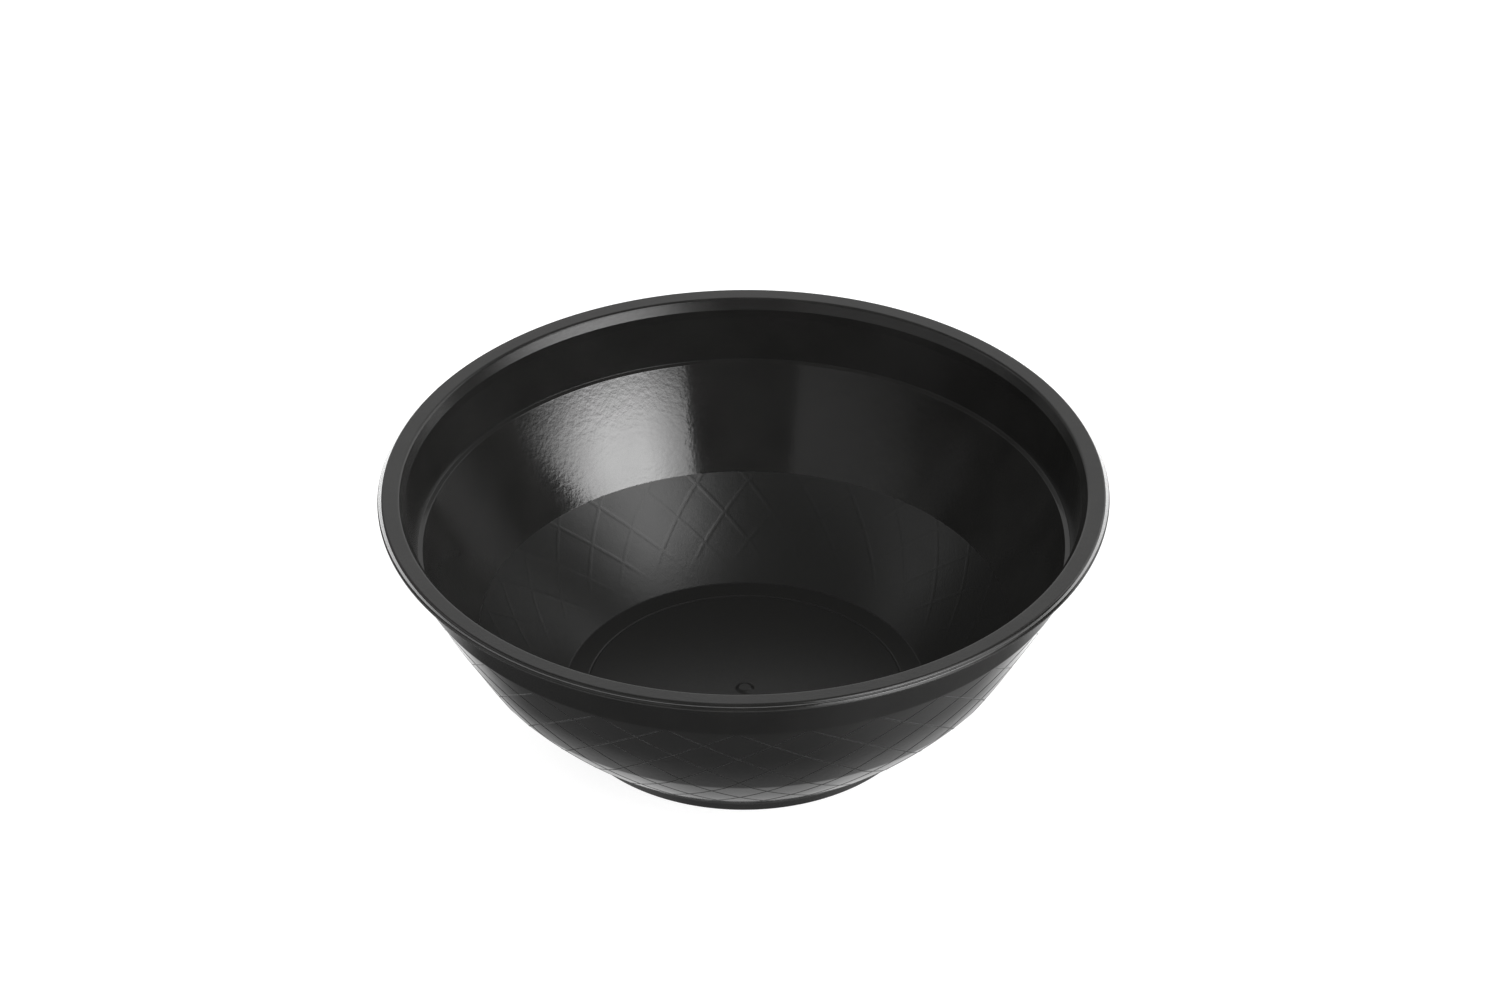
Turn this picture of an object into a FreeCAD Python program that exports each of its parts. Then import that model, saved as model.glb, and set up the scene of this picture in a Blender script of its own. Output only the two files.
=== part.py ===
import FreeCAD, Part
import os
import Sketcher
from FreeCAD import Vector

# A salon bowl for mixing and holding hair colour, injection moulded in one piece.
# It is a solid of revolution: +Z is its axis and z = 0 is the table it stands on.
# From the outside in: a flat lip with a sloping edge, a steep band under it, a small
# ledge where the band ends, an upper and a lower wall that meet at a crease half way
# down, a flat floor, and a foot ring that lifts the floor clear of the table.

# alias, value in millimetres, what it is
SIZES = [
    ("rim_diameter", 150.0, "outside of the lip"),
    ("bowl_height", 54.2, "table to the top of the lip"),
    ("wall", 1.0, "thickness of the upper and lower wall"),
    ("lip_width", 4.4, "lip, outer edge to inner edge"),
    ("lip_thickness", 1.3, "height of the lip, top to underside"),
    ("lip_slope", 1.1, "how far in from its outer edge the lip's top slopes down"),
    ("lip_fall", 1.0, "how far it slopes down"),
    ("lip_round", 0.5, "rounding where that slope begins"),
    ("lip_inner_round", 0.8, "rounding of the lip's inner edge"),
    ("lip_fillet", 0.4, "fillet under the lip, where it meets the band"),
    ("drop_height", 2.05, "slope inside the lip, from its top to the band"),
    ("drop_width", 1.25, "the same slope, measured inwards"),
    ("band_height", 11.2, "steep band inside the lip, below that slope"),
    ("band_draft", 2.25, "how far the band leans in over its height"),
    ("ledge_width", 1.0, "ledge at the foot of the band"),
    ("ledge_fall", 0.1, "fall of that ledge towards the middle"),
    ("skirt_wall", 1.3, "thickness of the shell at the foot of the band's outside"),
    ("skirt_rise", 1.95, "how far above the ledge that foot is"),
    ("skirt_round", 1.2, "rounding where that turns into the upper wall"),
    ("upper_lean", 11.1, "how far the upper wall leans in, ledge to crease"),
    ("crease_height", 20.2, "height of that crease, inside"),
    ("upper_bulge", 0.2, "how far the upper wall bows out from straight, inside"),
    ("upper_bulge_out", 0.2, "the same, outside"),
    ("lower_bulge", 0.75, "how far the lower wall bows out from straight"),
    ("floor_radius", 37.7, "edge of the flat floor"),
    ("floor_height", 3.3, "table to the top of the floor"),
    ("floor_thickness", 1.5, "thickness of the floor"),
    ("floor_corner", 0.5, "rounding between the floor and the lower wall"),
    ("foot_inset", 0.2, "edge of the floor to the outside of the foot ring"),
    ("foot_width", 1.8, "width of the foot ring where it stands"),
    ("foot_draft", 0.3, "how much wider the foot ring is at its root, each side"),
    ("foot_round", 0.3, "rounding of the foot ring's standing edges"),
    ("ring_inset", 4.7, "edge of the floor to the shallow ring line on it"),
    ("ring_width", 0.6, "width of that line"),
    ("ring_depth", 0.15, "depth of that line"),
    ("gate_diameter", 3.7, "gate mark in the middle of the floor"),
    ("gate_height", 0.45, "how far the gate mark stands above the floor"),
]

os.makedirs("parts", exist_ok=True)
doc = FreeCAD.newDocument("HairColourBowl")


def make_sheet():
    sheet = doc.addObject("Spreadsheet::Sheet", "Sizes")
    for row, (alias, value, meaning) in enumerate(SIZES, start=1):
        sheet.set(f"A{row}", alias)
        sheet.set(f"B{row}", str(value))
        sheet.set(f"C{row}", meaning)
        sheet.setAlias(f"B{row}", alias)
    doc.recompute()
    return sheet


sheet = make_sheet()


def sized(text):
    """An expression in which each word of the sheet is spelled out for FreeCAD."""
    for alias, _, _ in sorted(SIZES, key=lambda row: -len(row[0])):
        text = text.replace(f"[{alias}]", f"Sizes.{alias}")
    return text


def number(text):
    """The value of the same expression now, used to place a line before it is constrained."""
    found = sheet.evalExpression(sized(text))
    return float(getattr(found, "Value", found))


# Heights and radii that more than one corner shares.
DROP_Z = "([bowl_height] - [drop_height])"
LEDGE_Z = f"({DROP_Z} - [band_height])"
LIP_R = "([rim_diameter] / 2 - [lip_width])"
DROP_R = f"({LIP_R} - [drop_width])"
LEDGE_R = f"({DROP_R} - [band_draft])"
UNDER_LIP_Z = "([bowl_height] - [lip_thickness])"
LIP_TOP_R = "([rim_diameter] / 2 - [lip_slope])"
LIP_EDGE_Z = "([bowl_height] - [lip_fall])"
SKIRT_Z = f"({LEDGE_Z} + [skirt_rise])"
SKIRT_R = f"({LEDGE_R} + [band_draft] * [skirt_rise] / [band_height] + [skirt_wall])"
UNDERSIDE_Z = "([floor_height] - [floor_thickness])"
WALL_TOP_R = f"({LEDGE_R} - [ledge_width])"
WALL_TOP_Z = f"({LEDGE_Z} - [ledge_fall])"
CREASE_R = f"({WALL_TOP_R} - [upper_lean])"
FOOT_R = "([floor_radius] - [foot_inset])"
RING_R = "([floor_radius] - [ring_inset])"


def chord(start, end):
    """Run, rise and length of the straight line between two corners, as expressions."""
    run = f"({end[0]} - {start[0]})"
    rise = f"({end[1]} - {start[1]})"
    return run, rise, f"sqrt({run}^2 + {rise}^2)"


def outside_of(corner, start, end, thickness="[wall]"):
    """The corner, moved out through the wall square to the line from start to end."""
    run, rise, length = chord(start, end)
    return (f"({corner[0]} + {thickness} * {rise} / {length})",
            f"({corner[1]} - {thickness} * {run} / {length})")


def bow_radius(start, end, bulge):
    """Radius of the arc that bows out by bulge between two corners."""
    run, rise, _ = chord(start, end)
    return f"(({run}^2 + {rise}^2) / 4 + {bulge}^2) / (2 * {bulge})"


FLOOR_EDGE = ("[floor_radius]", "[floor_height]")
CREASE = (CREASE_R, "[crease_height]")
WALL_TOP = (WALL_TOP_R, WALL_TOP_Z)
WALL_FOOT_OUT = outside_of(FLOOR_EDGE, FLOOR_EDGE, CREASE)
CREASE_OUT = outside_of(CREASE, FLOOR_EDGE, WALL_TOP)
# Outside, the band starts one wall away from the inside and ends a little above the ledge.
SKIRT_TOP = (f"({DROP_R} + [wall])", UNDER_LIP_Z)
SKIRT_FOOT = (SKIRT_R, SKIRT_Z)


def outline(body, name, corners, bows=None):
    """A closed outline in the XZ plane, revolved about Z: straight lines between the
    corners, and an arc after each corner whose number is in bows."""
    bows = bows or {}
    plane = next(f for f in body.Origin.OriginFeatures if f.Role == "XZ_Plane")
    sketch = body.newObject("Sketcher::SketchObject", name)
    sketch.AttachmentSupport = [(plane, "")]
    sketch.MapMode = "FlatFace"
    places = [Vector(number(r), number(z), 0) for r, z in corners]
    for i, start in enumerate(places):
        end = places[(i + 1) % len(places)]
        if i in bows:
            across = end - start
            middle = start + across * 0.5
            out = Vector(-across.y, across.x, 0).normalize() * number(bows[i])
            arc = Part.Arc(start, middle - out if out.x < 0 else middle + out, end)
            sketch.addGeometry(arc, False)
        else:
            sketch.addGeometry(Part.LineSegment(start, end), False)
    # An arc always runs anticlockwise, so its own start can be the outline's next corner.
    ends = []
    for i, start in enumerate(places):
        own_start = sketch.getPoint(i, 1)
        forward = (own_start - start).Length < (own_start - places[(i + 1) % len(places)]).Length
        ends.append((1, 2) if forward else (2, 1))
    for i in range(len(places)):
        after = (i + 1) % len(places)
        sketch.addConstraint(Sketcher.Constraint("Coincident", i, ends[i][1],
                                                 after, ends[after][0]))
    for i, (r, z) in enumerate(corners):
        if r == "0":
            sketch.addConstraint(Sketcher.Constraint("PointOnObject", i, ends[i][0], -2))
        else:
            n = sketch.addConstraint(Sketcher.Constraint("DistanceX", -1, 1, i, ends[i][0],
                                                         places[i].x))
            sketch.setExpression(f"Constraints[{n}]", sized(r))
        if z == "0":
            sketch.addConstraint(Sketcher.Constraint("PointOnObject", i, ends[i][0], -1))
        else:
            n = sketch.addConstraint(Sketcher.Constraint("DistanceY", -1, 1, i, ends[i][0],
                                                         places[i].y))
            sketch.setExpression(f"Constraints[{n}]", sized(z))
    for i, bulge in bows.items():
        radius = bow_radius(corners[i], corners[(i + 1) % len(corners)], bulge)
        n = sketch.addConstraint(Sketcher.Constraint("Radius", i, number(radius)))
        sketch.setExpression(f"Constraints[{n}]", sized(radius))
    return sketch


def turn(body, kind, name, sketch):
    """A full turn of an outline about Z: PartDesign::Revolution adds, ::Groove cuts."""
    feature = body.newObject(f"PartDesign::{kind}", name)
    feature.Profile = sketch
    feature.ReferenceAxis = (sketch, ["V_Axis"])
    feature.Angle = 360.0
    body.Tip = feature
    doc.recompute()
    return feature


def rounding(body, name, base, size, rings):
    """Fillets on the circular edges of base that pass through the given corners."""
    names = []
    for r, z in rings:
        r, z = number(r), number(z)
        for i, edge in enumerate(base.Shape.Edges, start=1):
            circle = edge.Curve
            if (circle.TypeId == "Part::GeomCircle" and abs(circle.Radius - r) < 1e-4
                    and abs(circle.Center.z - z) < 1e-4):
                names.append(f"Edge{i}")
    assert len(names) == len(rings), f"{name}: found {len(names)} of {len(rings)} edges"
    fillet = body.newObject("PartDesign::Fillet", name)
    fillet.Base = (base, names)
    fillet.setExpression("Radius", sized(size))
    body.Tip = fillet
    doc.recompute()
    return fillet


def make_bowl():
    body = doc.addObject("PartDesign::Body", "bowl")
    body.Label = "bowl"

    foot_bottom_out = (FOOT_R, "0")
    foot_bottom_in = (f"({FOOT_R} - [foot_width])", "0")
    foot_root_out = (f"({FOOT_R} + [foot_draft])", UNDERSIDE_Z)
    foot_root_in = (f"({FOOT_R} - [foot_width] - [foot_draft])", UNDERSIDE_Z)
    lip_top_out = (LIP_TOP_R, "[bowl_height]")
    lip_top_in = (LIP_R, "[bowl_height]")
    drop_foot = (DROP_R, DROP_Z)
    corners = [
        ("0", "[floor_height]"),
        FLOOR_EDGE,
        CREASE,
        WALL_TOP,
        (LEDGE_R, LEDGE_Z),
        drop_foot,
        lip_top_in,
        lip_top_out,
        ("[rim_diameter] / 2", LIP_EDGE_Z),
        ("[rim_diameter] / 2", UNDER_LIP_Z),
        SKIRT_TOP,
        SKIRT_FOOT,
        CREASE_OUT,
        WALL_FOOT_OUT,
        foot_root_out,
        foot_bottom_out,
        foot_bottom_in,
        foot_root_in,
        ("0", UNDERSIDE_Z),
    ]
    bows = {1: "[lower_bulge]", 2: "[upper_bulge]", 11: "[upper_bulge_out]", 12: "[lower_bulge]"}
    shell = turn(body, "Revolution", "shell", outline(body, "shell_outline", corners, bows))

    half = "[ring_width] / 2"
    ring_line = outline(body, "ring_line_outline", [
        (f"{RING_R} - {half}", "[floor_height] + [ring_depth]"),
        (f"{RING_R} + {half}", "[floor_height] + [ring_depth]"),
        (RING_R, "[floor_height] - [ring_depth]"),
    ])
    before = shell.Shape.Volume
    groove = turn(body, "Groove", "ring_line", ring_line)
    assert groove.Shape.Volume < before, "the ring line cuts nothing"

    gate = turn(body, "Revolution", "gate_mark", outline(body, "gate_mark_outline", [
        ("0", "[floor_height] - [floor_thickness] / 2"),
        ("[gate_diameter] / 2", "[floor_height] - [floor_thickness] / 2"),
        ("[gate_diameter] / 2", "[floor_height] + [gate_height]"),
        ("0", "[floor_height] + [gate_height]"),
    ]))

    lip = rounding(body, "lip_rounding", gate, "[lip_round]", [lip_top_out])
    inner = rounding(body, "lip_inner_rounding", lip, "[lip_inner_round]", [lip_top_in])
    under = rounding(body, "lip_fillet", inner, "[lip_fillet]", [SKIRT_TOP])
    skirt = rounding(body, "skirt_rounding", under, "[skirt_round]", [SKIRT_FOOT])
    floor = rounding(body, "floor_rounding", skirt, "[floor_corner]", [FLOOR_EDGE])
    rounding(body, "foot_rounding", floor, "[foot_round]", [foot_bottom_out, foot_bottom_in])
    return body


nodes = [make_bowl()]

doc.recompute()
for item in doc.Objects:
    if "Invalid" in item.State or "Error" in item.State:
        raise RuntimeError(f"{item.Label} failed: {item.State}")
for node in nodes:
    if node.Shape.isNull() or not node.Shape.isValid():
        raise RuntimeError(f"{node.Label} has no valid shape")
    node.Shape.exportStep(f"parts/{node.Label}.step")
    size = node.Shape.BoundBox
    print(f"{node.Label}: {size.XLength:.2f} x {size.YLength:.2f} x {size.ZLength:.2f} mm,",
          f"{node.Shape.Volume / 1000:.2f} cm3, {len(node.Shape.Solids)} solid")
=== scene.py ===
import math

import bmesh
import bpy
from mathutils import Matrix, Vector


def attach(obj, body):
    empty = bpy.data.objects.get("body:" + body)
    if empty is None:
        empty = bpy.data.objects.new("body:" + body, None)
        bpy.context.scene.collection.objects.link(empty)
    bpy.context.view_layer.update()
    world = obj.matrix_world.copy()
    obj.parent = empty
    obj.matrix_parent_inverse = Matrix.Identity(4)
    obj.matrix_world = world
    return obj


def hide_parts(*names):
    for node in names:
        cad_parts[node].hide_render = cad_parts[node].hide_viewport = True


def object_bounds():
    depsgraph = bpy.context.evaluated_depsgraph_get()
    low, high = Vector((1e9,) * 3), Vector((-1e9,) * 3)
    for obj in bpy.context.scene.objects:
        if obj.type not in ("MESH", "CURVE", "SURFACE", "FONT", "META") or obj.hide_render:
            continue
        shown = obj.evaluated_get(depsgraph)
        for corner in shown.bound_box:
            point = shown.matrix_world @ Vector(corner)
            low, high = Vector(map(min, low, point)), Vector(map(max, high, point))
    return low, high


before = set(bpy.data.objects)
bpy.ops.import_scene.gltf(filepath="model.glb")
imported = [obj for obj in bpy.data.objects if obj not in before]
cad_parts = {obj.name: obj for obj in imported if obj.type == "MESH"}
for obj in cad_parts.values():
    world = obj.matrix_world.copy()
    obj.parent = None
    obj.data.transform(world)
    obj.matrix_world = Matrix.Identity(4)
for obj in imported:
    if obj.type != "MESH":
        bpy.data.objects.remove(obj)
cad_low, cad_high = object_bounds()

# A black salon bowl for mixing hair colour, moulded in one piece. The shell is the bowl's
# half section turned about +Z. A lattice of fine raised lines runs round the outside.
# Section sizes are in millimetres, as on the drawing, and MM turns them into metres.

MM = 0.001
RIM_R = (cad_high.x - cad_low.x) / 2 / MM
RIM_Z = cad_high.z / MM

# Lip
LIP_WIDTH = 4.4
LIP_THICK = 1.3
LIP_SLOPE = 1.1
LIP_FALL = 1.0
LIP_GROOVE = 0.05
DROP_HEIGHT = 2.05
DROP_WIDTH = 1.25
# Band between the lip and the ledge
BAND_HEIGHT = 11.2
BAND_DRAFT = 2.25
LEDGE_WIDTH = 1.0
LEDGE_FALL = 0.1
# Walls
UPPER_LEAN = 11.1
CREASE_Z = 20.2
UPPER_BULGE = 0.2
UPPER_BULGE_OUT = 0.2
LOWER_BULGE = 0.75
WALL = 1.0
SKIRT_WALL = 1.3
SKIRT_RISE = 1.95
# Floor and foot
FLOOR_R = 37.7
FLOOR_Z = 3.3
FLOOR_THICK = 1.5
FOOT_INSET = 0.2
FOOT_WIDTH = 1.8
FOOT_DRAFT = 0.3
RING_INSET = 4.7
RING_WIDTH = 0.6
RING_DEPTH = 0.12
GATE_R = 1.85
GATE_HEIGHT = 0.45
# Lattice of raised lines outside
RIBS = 30           # in each of its two directions
RIB_LEAD = 1.0      # degrees round the bowl for each millimetre down the wall
RIB_PHASE = -91.3   # degrees round the bowl at the row of crossings below
RIB_ROW = 24.0      # millimetres down the wall to a row of crossings
RIB_WIDTH = 0.5
RIB_HEIGHT = 0.055
RIB_DEPTH = 0.2     # how far a rib's body reaches into the wall
RIB_SIDES = 6
RIB_STEP = 0.6
RIB_FADE = 2.5      # steps over which each end of a rib thins out
# Faint sunk lines inside, behind the lattice
SINK_LEAD = 1.35    # degrees round the bowl for each millimetre outwards
SINK_PHASE = 100.7  # degrees round the bowl at the row of crossings below
SINK_ROW = 53.8     # radius of a row of crossings, in millimetres
SINK_WIDTH = 0.8

TURN_STEPS = 300    # facets round the bowl
EDGE_STEP = 0.08    # from each rounding to the close point beside it

# Finish
DARK = (0.0075, 0.0075, 0.0072, 1)
LIGHT = (0.0150, 0.0148, 0.0142, 1)
GLOSS = 0.12        # roughness where the plastic is polished
LOW_HAZE = 0.2      # added to it below the crease inside
BAND_HAZE = 0.12    # added to it from the ledge up to the lip inside
GRIME_HAZE = 0.08   # added to it, and taken off it, in wide patches
BUMP = 0.035        # depth of the moulded surface's ripple, in millimetres


# ---------------------------------------------------------------- half section

def bow(start, end, bulge, step=1.2):
    """Points after start, up to and with end, on the arc that bows out by bulge."""
    start, end = Vector(start), Vector(end)
    across = end - start
    outward = Vector((abs(across.y), -abs(across.x))).normalized()
    radius = (across.length ** 2 / 4 + bulge ** 2) / (2 * bulge)
    centre = (start + end) / 2 + outward * (bulge - radius)
    first = math.atan2(start.y - centre.y, start.x - centre.x)
    last = math.atan2(end.y - centre.y, end.x - centre.x)
    count = max(4, round(across.length / step))
    return [centre + radius * Vector((math.cos(a), math.sin(a)))
            for a in (first + (last - first) * i / count for i in range(1, count + 1))]


def rounded(corner, before, after, radius, steps=7):
    """Points of the arc that rounds a corner, with a close point on each side of it."""
    back, ahead = (before - corner).normalized(), (after - corner).normalized()
    half = back.angle(ahead) / 2
    room = 0.45 * min((before - corner).length, (after - corner).length)
    reach = min(radius / math.tan(half), room)
    radius = reach * math.tan(half)
    centre = corner + (back + ahead).normalized() * (radius / math.sin(half))
    start, end = corner + back * reach - centre, corner + ahead * reach - centre
    swing = start.angle_signed(end)
    arc = [centre + Matrix.Rotation(-swing * i / steps, 2) @ start for i in range(steps + 1)]
    extra = min(EDGE_STEP, room * 0.2)
    return [arc[0] + back * extra, *arc, arc[-1] + ahead * extra]


def smooth_path(corners):
    """A path through corners of (r, z, rounding) or (r, z, rounding, bulge). The bulge
    bows the stretch from its corner to the next one."""
    places = [Vector(c[:2]) for c in corners]
    stretches = [bow(places[i], places[i + 1], c[3]) if len(c) > 3 else [places[i + 1]]
                 for i, c in enumerate(corners[:-1])]
    points = [places[0]]
    for i, stretch in enumerate(stretches):
        points += stretch[:-1]
        if i + 1 == len(stretches):
            points.append(places[-1])
        elif corners[i + 1][2]:
            points += rounded(places[i + 1], points[-1], stretches[i + 1][0], corners[i + 1][2])
        else:
            points.append(places[i + 1])
    return points


def offset(corner, start, end, thickness):
    """The corner moved out through the wall, square to the line from start to end."""
    along = (Vector(end) - Vector(start)).normalized()
    return Vector(corner) + Vector((along.y, -along.x)) * thickness


drop_foot = (RIM_R - LIP_WIDTH - DROP_WIDTH, RIM_Z - DROP_HEIGHT)
ledge = (drop_foot[0] - BAND_DRAFT, drop_foot[1] - BAND_HEIGHT)
wall_top = (ledge[0] - LEDGE_WIDTH, ledge[1] - LEDGE_FALL)
crease = (wall_top[0] - UPPER_LEAN, CREASE_Z)
floor_edge = (FLOOR_R, FLOOR_Z)
ring_r = FLOOR_R - RING_INSET
foot_r = FLOOR_R - FOOT_INSET
lip_under_z = RIM_Z - LIP_THICK
underside_z = FLOOR_Z - FLOOR_THICK
skirt_foot = (ledge[0] + BAND_DRAFT * SKIRT_RISE / BAND_HEIGHT + SKIRT_WALL,
              ledge[1] + SKIRT_RISE)
crease_out = offset(crease, floor_edge, wall_top, WALL)
wall_foot_out = offset(floor_edge, floor_edge, crease, WALL)

INSIDE = [
    (0, FLOOR_Z + GATE_HEIGHT, 0),
    (GATE_R - 0.6, FLOOR_Z + GATE_HEIGHT, 0.6),
    (GATE_R + 0.1, FLOOR_Z, 0.4),
    (ring_r - RING_WIDTH / 2, FLOOR_Z, 0.1),
    (ring_r, FLOOR_Z - RING_DEPTH, 0.1),
    (ring_r + RING_WIDTH / 2, FLOOR_Z, 0.1),
    (*floor_edge, 0.6, LOWER_BULGE),
    (*crease, 0.3, UPPER_BULGE),
    (*wall_top, 0.12),
    (*ledge, 0.12),
    (drop_foot[0] - 0.3, drop_foot[1] - 1.8, 2.0),
    (*drop_foot, 0.1),
    (RIM_R - LIP_WIDTH, RIM_Z - 0.02, 0.8),
    (RIM_R - LIP_SLOPE, RIM_Z, 0.5),
    (RIM_R - LIP_SLOPE * 0.5, RIM_Z - LIP_FALL * 0.5 + 0.08, 0),
    (RIM_R - LIP_SLOPE * 0.5 - LIP_GROOVE, RIM_Z - LIP_FALL * 0.5 - LIP_GROOVE, 0),
    (RIM_R, RIM_Z - LIP_FALL, 0.12),
    (RIM_R, lip_under_z, 0.12),
]
OUTSIDE = [
    (drop_foot[0] + WALL, lip_under_z, 0.4),
    (*skirt_foot, 1.0, UPPER_BULGE_OUT),
    (*crease_out, 6.0, LOWER_BULGE),
    (*wall_foot_out, 0.3),
    (foot_r + FOOT_DRAFT, underside_z, 0.25),
    (foot_r, 0, 0.3),
    (foot_r - FOOT_WIDTH, 0, 0.3),
    (foot_r - FOOT_WIDTH - FOOT_DRAFT, underside_z, 0.25),
    (0, underside_z, 0),
]


def lengths(points):
    """How far along the path each point is."""
    total = [0.0]
    for a, b in zip(points, points[1:]):
        total.append(total[-1] + (b - a).length)
    return total


def length_at(points, place):
    """How far along the path the point nearest to a place is."""
    runs = lengths(points)
    return runs[min(range(len(points)), key=lambda i: (points[i] - Vector(place)).length)]


section = smooth_path(INSIDE + OUTSIDE)


# ---------------------------------------------------------------- node trees

class Wire:
    """An output socket. Arithmetic on it adds Math nodes to its tree."""

    def __init__(self, tree, node, output=0):
        self.tree, self.node = tree, node
        self.socket = node.outputs[output] if node.outputs else None

    def out(self, name):
        return Wire(self.tree, self.node, name)

    def math(self, operation, *values):
        return self.tree.add("ShaderNodeMath", {"operation": operation}, *values)

    def __add__(self, other):
        return self.math("ADD", self, other)

    def __radd__(self, other):
        return self.math("ADD", other, self)

    def __sub__(self, other):
        return self.math("SUBTRACT", self, other)

    def __rsub__(self, other):
        return self.math("SUBTRACT", other, self)

    def __mul__(self, other):
        return self.math("MULTIPLY", self, other)

    def __rmul__(self, other):
        return self.math("MULTIPLY", other, self)

    def __truediv__(self, other):
        return self.math("DIVIDE", self, other)

    def __rtruediv__(self, other):
        return self.math("DIVIDE", other, self)

    def __pow__(self, other):
        return self.math("POWER", self, other)

    def __mod__(self, other):
        return self.math("FLOORED_MODULO", self, other)

    def whole(self):
        return self.math("FLOOR", self)

    def sin(self):
        return self.math("SINE", self)

    def cos(self):
        return self.math("COSINE", self)

    def abs(self):
        return self.math("ABSOLUTE", self)

    def low(self, other):
        return self.math("MINIMUM", self, other)

    def high(self, other):
        return self.math("MAXIMUM", self, other)

    def step(self, start, end):
        """0 below start, 1 above end, and smooth between them."""
        return self.tree.add("ShaderNodeMapRange", {"interpolation_type": "SMOOTHSTEP"},
                             self, start, end)


class Tree:
    """A node tree that grows by one method."""

    def __init__(self, node_tree):
        self.nodes, self.links = node_tree.nodes, node_tree.links

    def add(self, kind, settings=None, *values, **named):
        node = self.nodes.new(kind)
        for name, value in (settings or {}).items():
            setattr(node, name, value)
        for key, value in [*enumerate(values), *named.items()]:
            if value is None:
                continue
            key = key.replace("_", " ") if isinstance(key, str) else key
            if isinstance(value, Wire):
                self.links.new(value.socket, node.inputs[key])
            else:
                node.inputs[key].default_value = value
        return Wire(self, node)

    def vector(self, x=0.0, y=0.0, z=0.0):
        return self.add("ShaderNodeCombineXYZ", None, x, y, z)


def geometry_tree(name, inputs):
    """A Geometry Nodes tree with a geometry input, the named inputs and an output."""
    group = bpy.data.node_groups.new(name, "GeometryNodeTree")
    group.interface.new_socket("Geometry", in_out="INPUT", socket_type="NodeSocketGeometry")
    for label, kind in inputs:
        group.interface.new_socket(label, in_out="INPUT", socket_type=f"NodeSocket{kind}")
    group.interface.new_socket("Geometry", in_out="OUTPUT", socket_type="NodeSocketGeometry")
    tree = Tree(group)
    return group, tree, tree.add("NodeGroupInput")


def grown(name, base, group, values):
    """The plain mesh that a tree makes from a base mesh, as a new object."""
    seed = bpy.data.objects.new(f"{name}_seed", base)
    bpy.context.scene.collection.objects.link(seed)
    modifier = seed.modifiers.new(name, "NODES")
    modifier.node_group = group
    for item in group.interface.items_tree:
        if item.in_out == "INPUT" and item.name in values:
            modifier[item.identifier] = values[item.name]
    ready = seed.evaluated_get(bpy.context.evaluated_depsgraph_get())
    mesh = bpy.data.meshes.new_from_object(ready)
    mesh.name = name
    seed.modifiers.remove(modifier)
    bpy.data.objects.remove(seed)
    made = bpy.data.objects.new(name, mesh)
    bpy.context.scene.collection.objects.link(made)
    return made


def path_mesh(name, points, runs, normals=None):
    """A mesh of points in the XZ plane, in metres, that carries how far along each is."""
    mesh = bpy.data.meshes.new(name)
    mesh.from_pydata([(p.x * MM, 0, p.y * MM) for p in points],
                     [(i, i + 1) for i in range(len(points) - 1)], [])
    mesh.attributes.new("run", "FLOAT", "POINT").data.foreach_set("value", runs)
    if normals:
        flat = [v for n in normals for v in (n.x, 0.0, n.y)]
        mesh.attributes.new("outward", "FLOAT_VECTOR", "POINT").data.foreach_set("vector", flat)
    return mesh


def sample(tree, geometry, index, attribute, kind):
    """An attribute of the base mesh at an index."""
    value = (tree.add("GeometryNodeInputPosition") if attribute == "position" else
             tree.add("GeometryNodeInputNamedAttribute", {"data_type": kind}, attribute))
    return tree.add("GeometryNodeSampleIndex", {"data_type": kind, "domain": "POINT"},
                    Geometry=geometry, Value=value, Index=index)


def turned_shell():
    """Turns the base path about +Z, joins the last turn to the first and closes the poles."""
    group, tree, given = geometry_tree("turned_shell", [
        ("Path points", "Int"), ("Turn steps", "Int"), ("Material", "Material")])
    steps = given.out("Turn steps")
    grid = tree.add("GeometryNodeMeshGrid", None, 1.0, 1.0, given.out("Path points"), steps + 1)
    index = tree.add("GeometryNodeInputIndex")
    place = (index / (steps + 1)).whole()
    angle = (index % (steps + 1)) / steps * math.tau
    flat = sample(tree, given.out("Geometry"), place, "position", "FLOAT_VECTOR")
    turned = tree.add("ShaderNodeVectorRotate", {"rotation_type": "Z_AXIS"},
                      Vector=flat, Angle=angle)
    run = sample(tree, given.out("Geometry"), place, "run", "FLOAT")
    marked = tree.add("GeometryNodeStoreNamedAttribute",
                      {"data_type": "FLOAT", "domain": "POINT"},
                      Geometry=grid.out("Mesh"), Name="run", Value=run)
    shaped = tree.add("GeometryNodeSetPosition", None, Geometry=marked, Position=turned)
    closed = tree.add("GeometryNodeMergeByDistance", None, Geometry=shaped, Distance=1e-7)
    real = tree.add("GeometryNodeRealizeInstances", None, Geometry=closed)
    painted = tree.add("GeometryNodeSetMaterial", None,
                       Geometry=real, Material=given.out("Material"))
    tree.add("NodeGroupOutput", None, painted)
    return group


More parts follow.
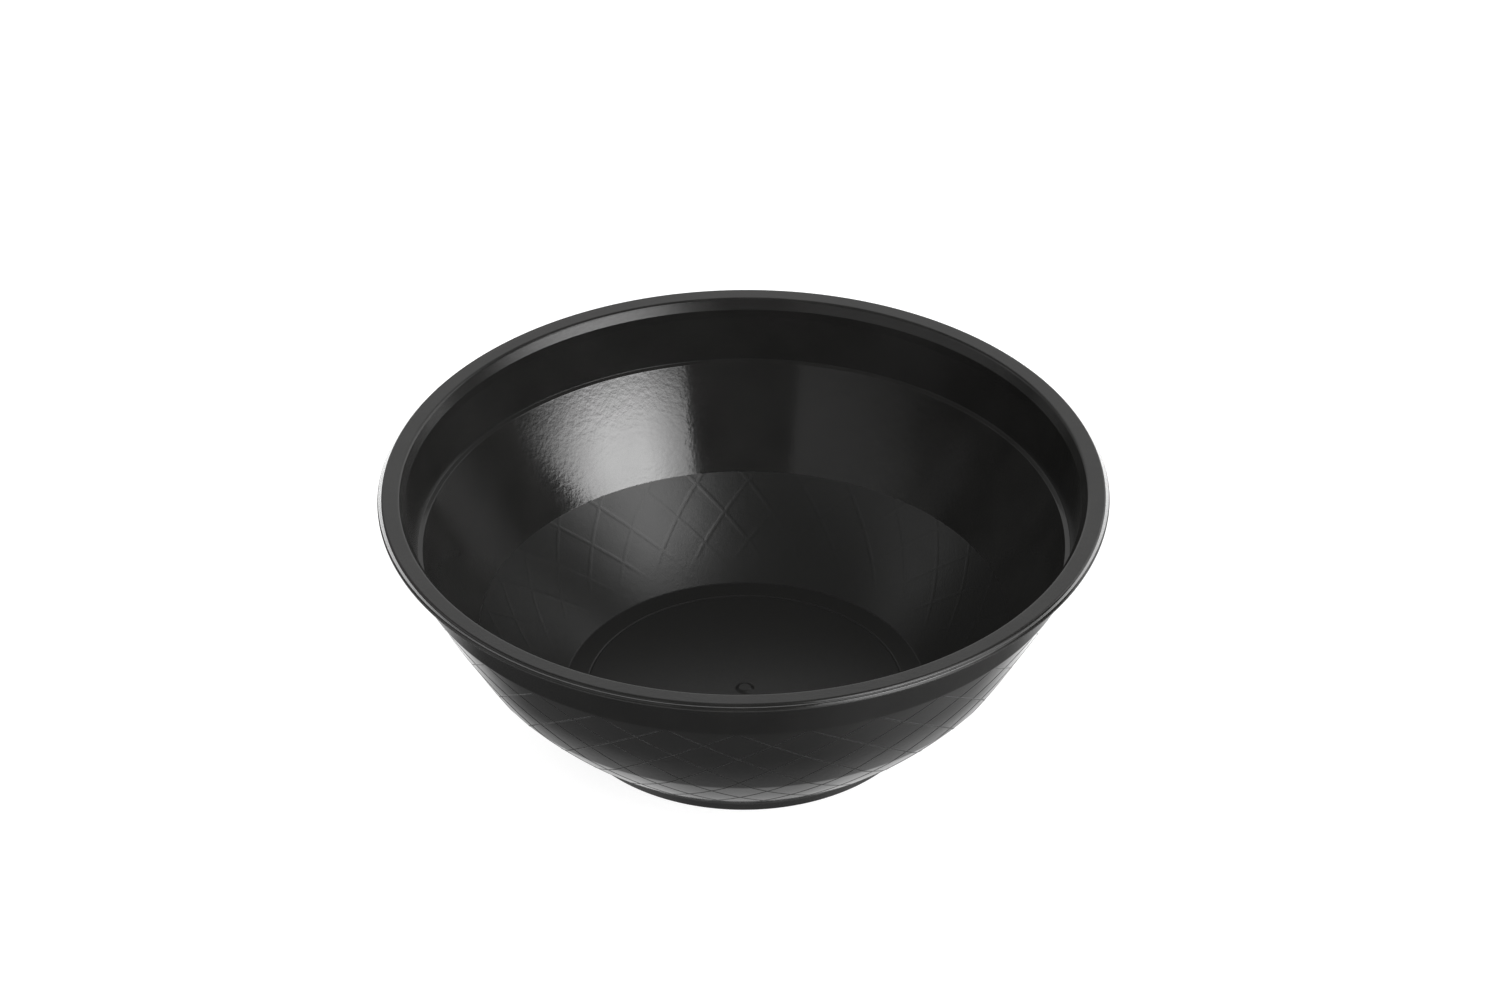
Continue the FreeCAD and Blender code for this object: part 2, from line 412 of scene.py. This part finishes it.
def lattice():
    """Two families of raised lines that wind down the base path in opposite ways."""
    group, tree, given = geometry_tree("lattice", [
        ("Path points", "Int"), ("Ribs", "Int"), ("Lead", "Float"), ("Phase", "Float"),
        ("Row", "Float"), ("Width", "Float"), ("Height", "Float"), ("Depth", "Float"),
        ("Sides", "Int"), ("Fade points", "Float"), ("Material", "Material")])
    count, sides = given.out("Path points"), given.out("Sides")
    index = tree.add("GeometryNodeInputIndex")
    place = (index / (sides + 1)).whole()
    around = (index % (sides + 1)) / sides * math.tau
    base = given.out("Geometry")
    centre = sample(tree, base, place, "position", "FLOAT_VECTOR")
    outward = sample(tree, base, place, "outward", "FLOAT_VECTOR")
    run = sample(tree, base, place, "run", "FLOAT")
    # Each end thins to a point inside the wall, so the line dies into the surface.
    end = place.low(count - 1 - place) / given.out("Fade points")
    fade = end.low(1.0) ** 0.5
    swell = around.sin()
    rise = (swell.high(0.0) * given.out("Height") + swell.low(0.0) * given.out("Depth")) * fade
    sunk = rise - (1 - fade) * given.out("Height")
    aside = around.cos() * given.out("Width") * 0.5 * fade
    lifted = tree.add("ShaderNodeVectorMath", {"operation": "SCALE"},
                      Vector=outward, Scale=sunk * MM)
    moved = tree.add("ShaderNodeVectorMath", {"operation": "ADD"}, centre, lifted)
    widened = tree.add("ShaderNodeVectorMath", {"operation": "ADD"},
                       moved, tree.vector(y=aside * MM))
    grid = tree.add("GeometryNodeMeshGrid", None, 1.0, 1.0, count, sides + 1)
    families = []
    for way in (1.0, -1.0):
        wound = (run - given.out("Row")) * given.out("Lead") * way + given.out("Phase")
        turned = tree.add("ShaderNodeVectorRotate", {"rotation_type": "Z_AXIS"},
                          Vector=widened, Angle=wound * (math.pi / 180))
        rib = tree.add("GeometryNodeSetPosition", None,
                       Geometry=grid.out("Mesh"), Position=turned)
        closed = tree.add("GeometryNodeMergeByDistance", None, Geometry=rib, Distance=1e-7)
        posts = tree.add("GeometryNodeMeshLine", None,
                         Count=given.out("Ribs"), Offset=(0.0, 0.0, 0.0))
        turn = tree.add("GeometryNodeInputIndex") / given.out("Ribs") * math.tau
        families.append(tree.add("GeometryNodeInstanceOnPoints", None, Points=posts,
                                 Instance=closed, Rotation=tree.vector(z=turn)))
    both = tree.add("GeometryNodeJoinGeometry")
    for family in families:
        tree.links.new(family.socket, both.node.inputs[0])
    real = tree.add("GeometryNodeRealizeInstances", None, Geometry=both)
    painted = tree.add("GeometryNodeSetMaterial", None,
                       Geometry=real, Material=given.out("Material"))
    tree.add("NodeGroupOutput", None, painted)
    return group


# ---------------------------------------------------------------- material

def moulded_black():
    """Glossy black polypropylene: polished outside and on the upper wall, hazier inside
    below the crease and on the band, with the fine ripple of a moulded surface."""
    material = bpy.data.materials.new("moulded_black")
    material.use_nodes = True
    material.node_tree.nodes.clear()
    tree = Tree(material.node_tree)
    where = tree.add("ShaderNodeTexCoord").out("Object")
    run = tree.add("ShaderNodeAttribute", {"attribute_name": "run"}).out("Fac")
    crease_run = length_at(section, crease)
    band_run = length_at(section, ledge)
    inside_low = 1 - run.step(crease_run - 0.1, crease_run + 0.1)
    inside_high = (run.step(band_run - 0.1, band_run + 0.1)
                   * (1 - run.step(band_run + 13, band_run + 14)))

    def noise(size, detail=2.0, roughness=0.5):
        return tree.add("ShaderNodeTexNoise", None, Vector=where, Scale=1 / (size * MM),
                        Detail=detail, Roughness=roughness)

    grime = noise(9.0, 3.0).out("Fac")
    ripple = noise(1.6, 2.0).out("Fac")
    peel = noise(0.8, 2.0).out("Fac")
    grain = noise(0.35, 1.0).out("Fac")
    # The lattice outside draws the lower wall in a little behind it, in crossing lines.
    spot = tree.add("ShaderNodeSeparateXYZ", None, where)
    x, y = spot.out("X"), spot.out("Y")
    out = (x * x + y * y) ** 0.5 / MM
    turn = tree.add("ShaderNodeMath", {"operation": "ARCTAN2"}, y, x) * (180 / math.pi)
    pitch = 360 / RIBS
    sinks = []
    for way in (1.0, -1.0):
        wound = turn - SINK_PHASE + (out - SINK_ROW) * SINK_LEAD * way
        aside = (wound + pitch / 2) % pitch - pitch / 2
        sinks.append(1 - (aside.abs() * out * (math.pi / 180)).step(0.1, SINK_WIDTH))
    sunk = sinks[0].high(sinks[1]) * inside_low * out.step(40, 46)
    height = ripple * 0.6 + peel * 0.35 + grain * (0.12 + inside_low * 0.4) - sunk
    bump = tree.add("ShaderNodeBump", None, Strength=0.6, Distance=BUMP * MM, Height=height)
    roughness = (GLOSS + inside_low * LOW_HAZE + inside_high * BAND_HAZE
                 + (grime - 0.5) * GRIME_HAZE)
    colour = tree.add("ShaderNodeMix", {"data_type": "RGBA"}, grime * (1 - inside_low))
    colour.node.inputs[6].default_value = DARK
    colour.node.inputs[7].default_value = LIGHT
    surface = tree.add("ShaderNodeBsdfPrincipled", None, Base_Color=colour.out(2), IOR=1.49,
                       Roughness=roughness, Normal=bump)
    tree.add("ShaderNodeOutputMaterial", None, surface)
    return material


# ---------------------------------------------------------------- pieces

def outward_faces(piece):
    """Turns the faces of a closed piece outwards and shades them smooth."""
    work = bmesh.new()
    work.from_mesh(piece.data)
    bmesh.ops.recalc_face_normals(work, faces=work.faces)
    for face in work.faces:
        face.smooth = True
    work.to_mesh(piece.data)
    work.free()


plastic = moulded_black()

shell = grown("bowl_shell", path_mesh("section", section, lengths(section)), turned_shell(),
              {"Path points": len(section), "Turn steps": TURN_STEPS, "Material": plastic})

outer_wall = smooth_path([(*skirt_foot, 0, UPPER_BULGE_OUT),
                          (*crease_out, 6.0, LOWER_BULGE), (*wall_foot_out, 0)])
wall_runs = lengths(outer_wall)


def evenly(points, runs, step):
    """Points at an even step along a path, with how far along and the way out of the wall."""
    count = round(runs[-1] / step)
    spots, ways, marks = [], [], []
    for i in range(count + 1):
        mark = min(runs[-1] * i / count, runs[-1] - 1e-6)
        k = max(j for j in range(len(runs) - 1) if runs[j] <= mark)
        share = (mark - runs[k]) / (runs[k + 1] - runs[k])
        along = (points[k + 1] - points[k]).normalized()
        spots.append(points[k].lerp(points[k + 1], share))
        ways.append(Vector((-along.y, along.x)))
        marks.append(mark)
    return spots, marks, ways


rib_spots, rib_marks, rib_ways = evenly(outer_wall, wall_runs, RIB_STEP)
ribs = grown("bowl_lattice", path_mesh("wall_path", rib_spots, rib_marks, rib_ways), lattice(), {
    "Path points": len(rib_spots), "Ribs": RIBS, "Lead": RIB_LEAD, "Phase": RIB_PHASE,
    "Row": RIB_ROW, "Width": RIB_WIDTH, "Height": RIB_HEIGHT, "Depth": RIB_DEPTH,
    "Sides": RIB_SIDES, "Fade points": RIB_FADE, "Material": plastic})

for piece in (shell, ribs):
    outward_faces(piece)
    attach(piece, "root")
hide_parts("bowl")


# ---------------------------------------------------------------- stage, light, camera

STAGE_HALF = 6.0


def rectangle(name, height):
    """A wide level square centred under the bowl, at a height."""
    mesh = bpy.data.meshes.new(name)
    half = STAGE_HALF
    corners = [(-half, -half, height), (half, -half, height),
               (half, half, height), (-half, half, height)]
    mesh.from_pydata(corners, [], [(0, 1, 2, 3)])
    piece = bpy.data.objects.new(name, mesh)
    bpy.context.scene.collection.objects.link(piece)
    return piece


def seen_only_by(piece, *rays):
    """Keeps a stage piece out of every kind of ray but those named."""
    for ray in ("camera", "diffuse", "glossy", "shadow", "transmission", "volume_scatter"):
        setattr(piece, f"visible_{ray}", ray in rays)


def glowing(name, strength_of, source):
    """A material that gives off white light. strength_of makes its strength from the two
    numbers that the source holds."""
    material = bpy.data.materials.new(name)
    material.use_nodes = True
    material.node_tree.nodes.clear()
    tree = Tree(material.node_tree)
    place = tree.add("ShaderNodeSeparateXYZ", None,
                     tree.add("ShaderNodeTexCoord").out(source))
    light = tree.add("ShaderNodeEmission", None,
                     Strength=strength_of(place.out("X"), place.out("Y")))
    tree.add("ShaderNodeOutputMaterial", None, light)
    return material


def panel(name, left, right, low, high, strength_of, distance=1.2, columns=24, rows=12):
    """A curved soft light panel around the bowl, from one azimuth to another and between
    two heights, in degrees. Azimuth 0 is in front of the bowl and 90 to its right.
    strength_of is given the azimuth and the height of a point."""
    points, spots, faces = [], [], []
    for row in range(rows + 1):
        for column in range(columns + 1):
            azimuth = left + (right - left) * column / columns
            height = low + (high - low) * row / rows
            a, e = math.radians(azimuth), math.radians(height)
            points.append((distance * math.sin(a) * math.cos(e),
                           -distance * math.cos(a) * math.cos(e),
                           distance * math.sin(e)))
            spots.append((azimuth, height))
    for row in range(rows):
        for column in range(columns):
            corner = row * (columns + 1) + column
            faces.append((corner, corner + 1, corner + columns + 2, corner + columns + 1))
    mesh = bpy.data.meshes.new(name)
    mesh.from_pydata(points, [], faces)
    layer = mesh.uv_layers.new(name="spot")
    for loop in mesh.loops:
        layer.data[loop.index].uv = spots[loop.vertex_index]
    piece = bpy.data.objects.new(name, mesh)
    bpy.context.scene.collection.objects.link(piece)
    mesh.materials.append(glowing(f"{name}_glow", strength_of, "UV"))
    seen_only_by(piece, "diffuse", "glossy")


def key_strength(azimuth, height):
    """Sharp at its inner edge, brightest 40 to 50 degrees to the right and low down."""
    across = (0.4 + 0.6 * azimuth.step(21, 42)) * (1 - azimuth.step(50, 94))
    slanted = height + azimuth * 0.14
    upright = (slanted.step(21, 27.5) * (1 - 0.75 * slanted.step(29.5, 35))
               + 0.13 * height.step(40, 48))
    return across * upright * 13.2


def fill_strength(azimuth, height):
    """Dim, and brighter towards its outer end."""
    return (0.42 + 0.25 * (1 - azimuth.step(-100, -60))) * height.step(12, 24)


def back_strength(azimuth, height):
    """Lights the lip's flat top, and fades upwards and to the left."""
    across = 1.3 - 0.52 * azimuth.step(125, 165) - 0.5 * azimuth.step(195, 225)
    return across * (1 - 0.8 * height.step(36, 55))


panel("key_panel", 21, 104, 4, 58, key_strength)
panel("fill_panel", -110, -20, 10, 44, fill_strength)
panel("back_panel", 110, 250, 6, 70, back_strength)

dome = bpy.data.lights.new("dome", "AREA")
dome.shape = "DISK"
dome.size = 3.2
dome.energy = 60
dome_lamp = bpy.data.objects.new("dome", dome)
bpy.context.scene.collection.objects.link(dome_lamp)
dome_lamp.location = (0, 0, 1.6)
seen_only_by(dome_lamp, "diffuse")


def painted_table_light(x, y):
    """Painted shade and painted light that the table glows with: darkest under the bowl,
    most of all in front, and brighter outwards, towards both sides and by the foot."""
    out = (x * x + y * y) ** 0.5 * (1 / MM)
    aside = x * x / (x * x + y * y)
    # painted light on the table by the foot, brighter towards the sides
    painted_light_by_foot = (0.32 + 0.3 * aside.step(0.02, 0.35)) * (1 - out.step(46, 60))
    # painted shade under the bowl, a little lighter to the right
    shade = 0.13 + 0.17 * x.step(0.01, 0.06)
    # painted light beside the bowl, on both sides towards the back
    beside = 2.4 * x.abs().step(0.04, 0.072) * y.step(-0.03, 0.05)
    # painted light that grows outwards, away from the painted shade under the bowl
    return painted_light_by_foot + shade + beside + 1.0 * out.step(85, 220) + 1.6 * out.step(180, 600)


# The bowl mirrors the table, which glows with painted shade and painted light, and the camera
# sees a floor over it, no thicker than a film: bright, with only a trace of shadow.
table = rectangle("table", -0.0003)
# the table's glow is painted shade and painted light, not a lamp
table.data.materials.append(glowing("table_glow", painted_table_light, "Object"))
seen_only_by(table, "diffuse", "glossy", "shadow")
floor = rectangle("floor", 0.0)
pale = bpy.data.materials.new("pale_floor")
pale.use_nodes = True
for name, value in (("Base Color", (0.25, 0.25, 0.25, 1)), ("Roughness", 0.9),
                    ("Emission Color", (1, 1, 1, 1)), ("Emission Strength", 0.92)):
    pale.node_tree.nodes["Principled BSDF"].inputs[name].default_value = value
floor.data.materials.append(pale)
seen_only_by(floor, "camera")

world = bpy.data.worlds.new("room")
world.use_nodes = True
world.node_tree.nodes["Background"].inputs[0].default_value = (1, 1, 1, 1)
world.node_tree.nodes["Background"].inputs[1].default_value = 0.05
bpy.context.scene.world = world
bpy.context.scene.view_settings.view_transform = "Standard"

CAMERA_DISTANCE = 20 * RIM_R * MM
CAMERA_ELEVATION = math.radians(34.97)
CAMERA_TILT = math.radians(0.09)
CAMERA_PAN = math.radians(0.062)
CAMERA_ROLL = math.radians(-0.368)
CAMERA_LENS = 175.8

lens = bpy.data.cameras.new("camera")
lens.lens = CAMERA_LENS
lens.sensor_width = 36.0
lens.clip_end = 50
camera = bpy.data.objects.new("camera", lens)
bpy.context.scene.collection.objects.link(camera)
down = CAMERA_ELEVATION + CAMERA_TILT
ahead = Vector((math.sin(CAMERA_PAN) * math.cos(down), math.cos(CAMERA_PAN) * math.cos(down),
                -math.sin(down)))
right = ahead.cross(Vector((0, 0, 1))).normalized()
up = right.cross(ahead)
rolled_right = math.cos(CAMERA_ROLL) * right + math.sin(CAMERA_ROLL) * up
rolled_up = math.cos(CAMERA_ROLL) * up - math.sin(CAMERA_ROLL) * right
turn = Matrix((rolled_right, rolled_up, -ahead)).transposed().to_4x4()
stand = Vector((0, -math.cos(CAMERA_ELEVATION), math.sin(CAMERA_ELEVATION))) * CAMERA_DISTANCE
camera.matrix_world = Matrix.Translation(stand + Vector((0, 0, cad_high.z))) @ turn
bpy.context.scene.camera = camera
